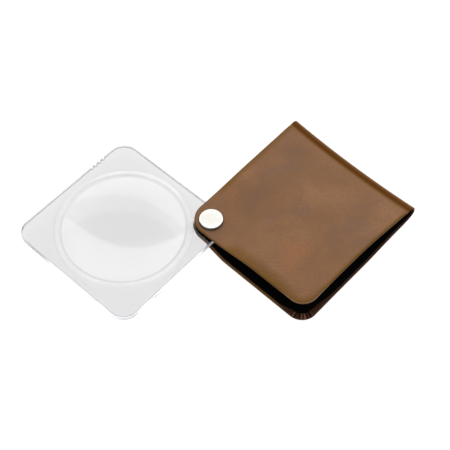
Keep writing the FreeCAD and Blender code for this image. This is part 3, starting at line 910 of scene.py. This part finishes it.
def make_cover(material):
    """The leather: outer face, rolled edge, turned-in hem and inner face, as one closed skin."""
    rows = fold_rows()
    loop = border(rows)
    bm = bmesh.new()
    marks = {name: bm.verts.layers.float.new(name) for name in LEATHER_MARKS}

    outer = sheet_grid(bm, rows, roll_radius, outer_depth)
    for row, line in zip(rows, outer):
        for j, vertex in enumerate(line):
            point, edge = sheet_point(row, j / COLUMNS, roll_radius, outer_depth)
            vertex[marks["edge"]] = wear_distance(row, point, edge)
            # painted shade where the front turns over into the spine
            vertex[marks["fold"]] = painted_fold_shade(row, point)
            by_open = 1 - ease((point.y + NEAR[row[0]]) / CREASE_REACH)
            creased = mix(CREASE_LEAST, 1.0, ease_over(point.x, CREASE_GROWS))
            vertex[marks["crease"]] = by_open * creased
            if row[0] == FRONT and row[1] != "spine":
                spot = Vector((point.x, point.y, 0.0)) / WAVE_LENGTH
                hollow = WAVE_DEPTH * (noise.noise(spot) - 1) * ease_over(edge, WAVE_GROWS)
                vertex.co.z += hollow * ease_over(math.hypot(point.x, point.y), WAVE_CLEARS)

    rings = [[outer[i][j] for i, j in loop]]

    def add_ring(inset_of, depth_of, hem, gathered, painted_highlight=0.0):
        """A ring of the turned edge; hem (how much shade is painted in the hem), gathered and the
        painted highlight on the rim are 0 to 1.
        """
        ring = []
        for i, j in loop:
            row = rows[i]
            across = j / COLUMNS
            ridge, shown = pleat_height(row, across)
            raised = -PLEAT_DEPTH * ridge * shown * gathered

            def depth(r, edge, openness):
                return depth_of(r, across) + raised

            point, _ = sheet_point(row, across, inset_of, depth)
            vertex = bm.verts.new(point)
            # burnish and painted shade on the roll, painted shade in the hem and at the fold,
            # painted shade and highlights on the gathers, and a painted highlight on the front's
            # rim
            vertex[marks["edge"]] = mix(ROLL_LEFT, ROLL_RIGHT, ease(across / ROLL_RUN))
            vertex[marks["hem"]] = hem * hem_shade(row, across)
            vertex[marks["fold"]] = painted_fold_shade(row, point)
            vertex[marks["pleat_light"]] = (1 - 2 * ridge) * shown * gathered
            vertex[marks["painted_highlight"]] = painted_highlight * highlight_share(row, across)
            ring.append(vertex)
        rings.append(ring)

    for k in range(1, ROLL_STEPS + 1):
        turn = math.pi * k / ROLL_STEPS

        def roll_inset(row, across):
            return roll_radius(row, across) * (1 - math.sin(turn))

        def roll_depth(row, across):
            return roll_radius(row, across) * (1 + math.cos(turn))

        share = k / ROLL_STEPS
        # a thin painted highlight a little way round the rolled edge
        painted_highlight = math.exp(-(((share - HIGHLIGHT_PLACE) / HIGHLIGHT_WIDTH) ** 2))
        hem = ease_over(share, HEM_ROUND)
        add_ring(roll_inset, roll_depth, hem, ease_over(share, PLEAT_ROUND), painted_highlight)
    for k in range(1, HEM_STEPS + 1):

        def hem_inset(row, across):
            return mix(roll_radius(row, across), hem_width(row, across), k / HEM_STEPS)

        add_ring(hem_inset, lambda r, a: 0.0, 1.0, 1.0)
    add_ring(lambda r, a: hem_width(r, a) + HEM_LIP, lambda r, a: HEM_LIP, 1.0, 0.7)
    add_ring(lambda r, a: hem_width(r, a) + HEM_LIP, lambda r, a: leather_inner(r), 1.0, 0.0)

    inner = sheet_grid(bm, rows, lambda r, a: hem_width(r, a) + 2 * HEM_LIP, leather_inner)
    rings.append([inner[i][j] for i, j in loop])
    join_rings(bm, rings)
    cover = new_piece("leather_cover_visual", bm, CASE_PLACE)
    drill(cover, CASE_PLACE, CASE_HOLE)
    finish_piece(cover, "case", material, math.radians(60))


def make_lining(material):
    """The lining: one folded sheet glued over the boards, inside the hem."""
    tucked = 0.05                  # under the hem's border
    rows = fold_rows()
    loop = border(rows)
    bm = bmesh.new()

    def inset(row, across):
        return hem_width(row, across) - tucked

    faces = [sheet_grid(bm, rows, inset, lambda r, e, o, d=d: d) for d in (LINING_IN, LINING_OUT)]
    join_rings(bm, [[grid[i][j] for i, j in loop] for grid in faces])
    lining = new_piece("lining_visual", bm, CASE_PLACE)
    drill(lining, CASE_PLACE, CASE_HOLE)
    finish_piece(lining, "case", material)


# ---------------------------------------------------------------- rivet caps

def make_cap(node, side, material):
    """A hollow pressed cap with a crowned top, a rolled rim and a thin lip on the leather."""
    low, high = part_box(node)
    seat = abs((low.z if side == FRONT else high.z) - PIVOT.z) / MM
    top = abs((high.z if side == FRONT else low.z) - PIVOT.z) / MM
    rim = (high.x - low.x) / MM / 2
    crown = 0.16
    edge_round = 0.95
    lip_round = 0.12
    wall = 0.4
    cavity = 0.5
    shoulder = rim - edge_round
    flat = top - crown
    crown_steps = 10
    round_steps = 10
    lip_steps = 4
    crown_shape = 2.4              # over 2, so that the top is flat in the middle
    profile = []
    for i in range(crown_steps):
        share = i / crown_steps
        profile.append((shoulder * share, flat + crown * (1 - share ** crown_shape)))
    profile += arc((shoulder, flat - edge_round), edge_round, 90, 0, round_steps)
    profile += arc((rim - lip_round, seat + lip_round), lip_round, 0, -90, lip_steps)
    profile += [(rim - wall, seat), (rim - wall, seat + cavity), (0.0, seat + cavity)]
    cap = lathe(f"{node}_visual", [(r, side * z) for r, z in profile])
    finish_piece(cap, "case", material)


# ---------------------------------------------------------------- studio

def make_floor():
    """A plain pale floor with an even glow of its own."""
    half_size = 3.0
    bm = bmesh.new()
    bmesh.ops.create_grid(bm, x_segments=8, y_segments=8, size=half_size)
    mesh = bpy.data.meshes.new("floor")
    bm.to_mesh(mesh)
    bm.free()
    floor = bpy.data.objects.new("floor", mesh)
    bpy.context.scene.collection.objects.link(floor)
    material, tree, shader, place = new_material("pale_floor")
    mottle = texture_noise(tree, place, 6.0, 2.0)
    colour = ramp(tree, mottle, (0.3, (0.115, 0.115, 0.115)), (0.7, (0.125, 0.125, 0.125)))
    tree.links.new(colour, shader.inputs["Base Color"])
    shader.inputs["Roughness"].default_value = 0.9
    shader.inputs["Specular IOR Level"].default_value = 0.1
    shader.inputs["Emission Color"].default_value = (1.0, 1.0, 1.0, 1.0)
    shader.inputs["Emission Strength"].default_value = 0.94
    mesh.materials.append(material)


def make_world():
    """The studio, which the lens and the caps mirror: a pale ceiling, a bright wall behind the
    object, a softbox overhead, and a dark screen high up on the camera's side."""
    wall_top = 0.777               # directions: x to the right, y away behind, z up
    wall_tilt = 0.155              # the wall's top edge stands higher on the right
    wall_foot = -0.02
    wall_near = 0.20
    wall_extra = 1.52
    ceiling_fades = (-0.62, -0.30)
    ceiling_extra = 0.62
    softbox_near = -0.12
    softbox_far = 0.32
    softbox_bow = 1.2
    softbox_fades = (0.60, 0.40)   # to both sides
    softbox_low = 0.5
    softbox_extra = 2.2
    screen_near = -0.34
    screen_low = 0.30
    screen_level = 0.20
    room_level = 0.52
    soft = 0.02                    # how softly the areas end
    world = bpy.data.worlds.new("studio")
    bpy.context.scene.world = world
    world.use_nodes = True
    tree = world.node_tree
    background = next(n for n in tree.nodes if n.type == "BACKGROUND")
    ray = add(tree, "ShaderNodeTexCoord").outputs["Generated"]
    x, y, z = add(tree, "ShaderNodeSeparateXYZ", {0: ray}).outputs

    def above(value, start):
        return span(tree, value, start - soft, start + soft)

    def below(value, end):
        return span(tree, value, end + soft, end - soft)

    def overlap(area, *others):
        for other in others:
            area = calculate(tree, "MULTIPLY", area, other)
        return area

    over_wall = calculate(tree, "SUBTRACT", z, calculate(tree, "MULTIPLY", x, wall_tilt))
    wall = overlap(below(over_wall, wall_top), above(z, wall_foot), above(y, wall_near))
    ceiling = overlap(above(over_wall, wall_top), span(tree, y, *ceiling_fades))
    bow = calculate(tree, "MULTIPLY", calculate(tree, "POWER", x, 2.0), softbox_bow)
    from_far = calculate(tree, "SUBTRACT", y, bow)
    along = overlap(below(from_far, softbox_far), above(y, softbox_near))
    across = span(tree, calculate(tree, "ABSOLUTE", x, 0.0), *softbox_fades)
    softbox = overlap(along, across, above(z, softbox_low))
    screen = overlap(below(y, screen_near), above(z, screen_low))
    level = span(tree, screen, 0.0, 1.0, room_level, screen_level)
    lit = ((ceiling, ceiling_extra), (wall, wall_extra), (softbox, softbox_extra))
    for area, extra in lit:
        level = calculate(tree, "ADD", level, calculate(tree, "MULTIPLY", area, extra))
    tree.links.new(level, background.inputs["Strength"])
    background.inputs["Color"].default_value = (1.0, 0.995, 0.985, 1.0)


def make_camera():
    """A long lens looking down at the middle of the open magnifier."""
    elevation = math.radians(57.06)
    distance = 0.5
    aside = 0.00624
    lift = 0.00349
    back = Vector((0.0, -math.cos(elevation), math.sin(elevation)))
    up = Vector((0.0, math.sin(elevation), math.cos(elevation)))
    right = Vector((1.0, 0.0, 0.0))
    data = bpy.data.cameras.new("camera")
    data.sensor_width = 36.0
    data.lens = 87.1
    data.clip_start = 0.01
    camera = bpy.data.objects.new("camera", data)
    bpy.context.scene.collection.objects.link(camera)
    spot = Vector((PIVOT.x, PIVOT.y, 0.0)) + back * distance + right * aside + up * lift
    axes = Matrix((right, up, back)).transposed().to_4x4()
    camera.matrix_world = Matrix.Translation(spot) @ axes
    bpy.context.scene.camera = camera


# ---------------------------------------------------------------- assembly

def keep_node(name, material):
    """A CAD node whose shape is right keeps it and gets its material."""
    for slot in frame["nodes"][name].material_slots:
        slot.material = material


nickel = nickel_material()
brass = metal_material("drawn_brass", (0.78, 0.58, 0.28), (0.66, 0.47, 0.20), 0.25, 0.40, 0.15)
paperboard = sheet_material("grey_paperboard", (0.42, 0.38, 0.31), (0.30, 0.26, 0.21), 900.0, 0.82)
nylon = sheet_material("nylon_sheet", (0.78, 0.77, 0.72), (0.68, 0.67, 0.62), 500.0, 0.42)

make_blade(acrylic_material())
make_cover(leather_material())
make_lining(lining_material())
make_cap("front_cap", FRONT, nickel)
make_cap("back_cap", BACK, nickel)
for name, material in (
    ("front_board", paperboard),
    ("back_board", paperboard),
    ("rivet_socket", brass),
    ("rivet_post", brass),
    ("front_washer", nylon),
    ("back_washer", nylon),
):
    keep_node(name, material)

make_floor()
make_world()
make_camera()
bpy.context.scene.view_settings.view_transform = "Standard"
